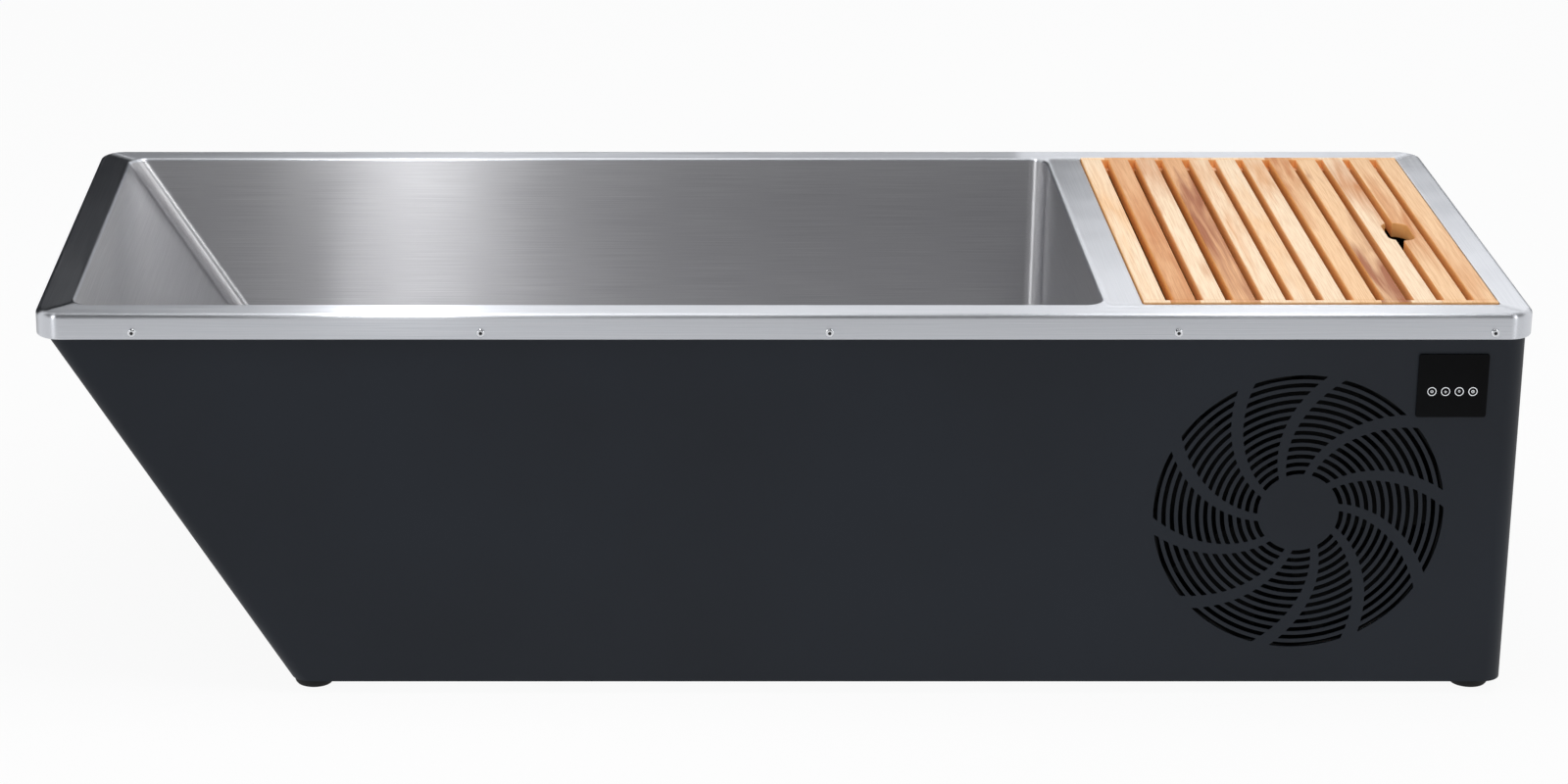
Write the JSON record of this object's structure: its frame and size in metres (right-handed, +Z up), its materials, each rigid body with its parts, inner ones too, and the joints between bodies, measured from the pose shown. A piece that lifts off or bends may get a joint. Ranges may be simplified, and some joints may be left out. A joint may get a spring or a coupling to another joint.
{
  "type": "cold plunge tub",
  "caption": "Chilled plunge tub: stainless basin and deck on a dark casing with a sloped end, slatted wood lid over the chiller bay, swirl fan grille and touch panel.",
  "frame": {"origin": "on the floor, under the middle of the deck", "axes": "+X from the sloped end to the machine end, +Y from the grille side to the rear, +Z up"},
  "size_m": [2, 0.8047, 0.5525],
  "materials": {
    "stainless_steel": "brushed stainless sheet",
    "powder_coat": "fine matt anthracite powder coat",
    "galvanised_steel": "galvanised sheet and tube",
    "rubber": "matt black moulded rubber",
    "oiled_wood": "oiled hardwood of mixed tone",
    "panel_gloss": "gloss black touch panel",
    "black_plastic": "moulded black plastic",
    "grey_plastic": "moulded grey plastic",
    "white_plastic": "moulded white plastic",
    "compressor_steel": "black enamelled steel can",
    "condenser_aluminium": "bare aluminium fins",
    "copper_tube": "drawn copper tube",
    "foam": "rigid closed-cell foam",
    "filter_paper": "pleated filter paper"
  },
  "bodies": {
    "tub": {"deck": "stainless_steel", "basin_trough": "stainless_steel", "basin_front_wall": "stainless_steel", "basin_rear_wall": "stainless_steel", "drain_fitting": "stainless_steel", "deck_screw_1": "stainless_steel", "deck_screw_2": "stainless_steel", "deck_screw_3": "stainless_steel", "deck_screw_4": "stainless_steel", "deck_screw_5": "stainless_steel", "front_panel": "powder_coat", "rear_panel": "powder_coat", "left_end_panel": "powder_coat", "right_end_panel": "powder_coat", "base_tray": "galvanised_steel", "base_frame": "galvanised_steel", "bulkhead": "galvanised_steel", "foot_front_left": "rubber", "foot_front_right": "rubber", "foot_rear_left": "rubber", "foot_rear_right": "rubber", "return_hose": "rubber", "control_panel": "panel_gloss", "power_inlet": "black_plastic", "pump_body": "black_plastic", "fan_shroud": "black_plastic", "heat_exchanger": "black_plastic", "controller_box": "grey_plastic", "filter_housing": "grey_plastic", "suction_fitting": "white_plastic", "return_nozzle": "white_plastic", "compressor": "compressor_steel", "condenser": "condenser_aluminium", "discharge_line": "copper_tube", "liquid_line": "copper_tube", "gas_return_line": "copper_tube", "insulation": "foam", "filter_cartridge": "filter_paper"},
    "lid": {"lid_slat_1": "oiled_wood", "lid_slat_2": "oiled_wood", "lid_slat_3": "oiled_wood", "lid_slat_4": "oiled_wood", "lid_slat_5": "oiled_wood", "lid_slat_6": "oiled_wood", "lid_slat_7": "oiled_wood", "lid_slat_8": "oiled_wood", "lid_slat_9": "oiled_wood", "lid_slat_10": "oiled_wood", "lid_slat_11": "oiled_wood", "lid_slat_12": "oiled_wood", "lid_rail_front": "oiled_wood", "lid_rail_rear": "oiled_wood"},
    "fan": {"fan_rotor": "black_plastic"},
    "impeller": {"pump_impeller": "white_plastic"},
    "filter_cap": {"filter_cap": "black_plastic"},
    "drain_plug": {"drain_plug": "rubber"},
    "button_1": {"button_1": "panel_gloss"},
    "button_2": {"button_2": "panel_gloss"},
    "button_3": {"button_3": "panel_gloss"},
    "button_4": {"button_4": "panel_gloss"}
  },
  "joints": [
    {"name": "lid_lift", "type": "slide", "parent": "tub", "child": "lid", "axis": [0, 0, 1], "range_m": [0, 0.3]},
    {"name": "fan_spin", "type": "hinge", "parent": "tub", "child": "fan", "pos_m": [0.6985, -0.36, 0.266], "axis": [0, 1, 0], "continuous": true},
    {"name": "pump_spin", "type": "hinge", "parent": "tub", "child": "impeller", "pos_m": [0.67, 0.295, 0.1696], "axis": [1, 0, 0], "continuous": true},
    {"name": "filter_cap_turn", "type": "hinge", "parent": "tub", "child": "filter_cap", "pos_m": [0.5563, 0.295, 0.385], "axis": [0, 0, 1], "range_deg": [0, 90]},
    {"name": "drain_plug_lift", "type": "slide", "parent": "tub", "child": "drain_plug", "axis": [0, 0, 1], "range_m": [0, 0.06]},
    {"name": "button_1_press", "type": "slide", "parent": "tub", "child": "button_1", "axis": [0, 1, 0], "range_m": [0, 0.001], "stiffness_N_per_m": 400},
    {"name": "button_2_press", "type": "slide", "parent": "tub", "child": "button_2", "axis": [0, 1, 0], "range_m": [0, 0.001], "stiffness_N_per_m": 400},
    {"name": "button_3_press", "type": "slide", "parent": "tub", "child": "button_3", "axis": [0, 1, 0], "range_m": [0, 0.001], "stiffness_N_per_m": 400},
    {"name": "button_4_press", "type": "slide", "parent": "tub", "child": "button_4", "axis": [0, 1, 0], "range_m": [0, 0.001], "stiffness_N_per_m": 400}
  ]
}
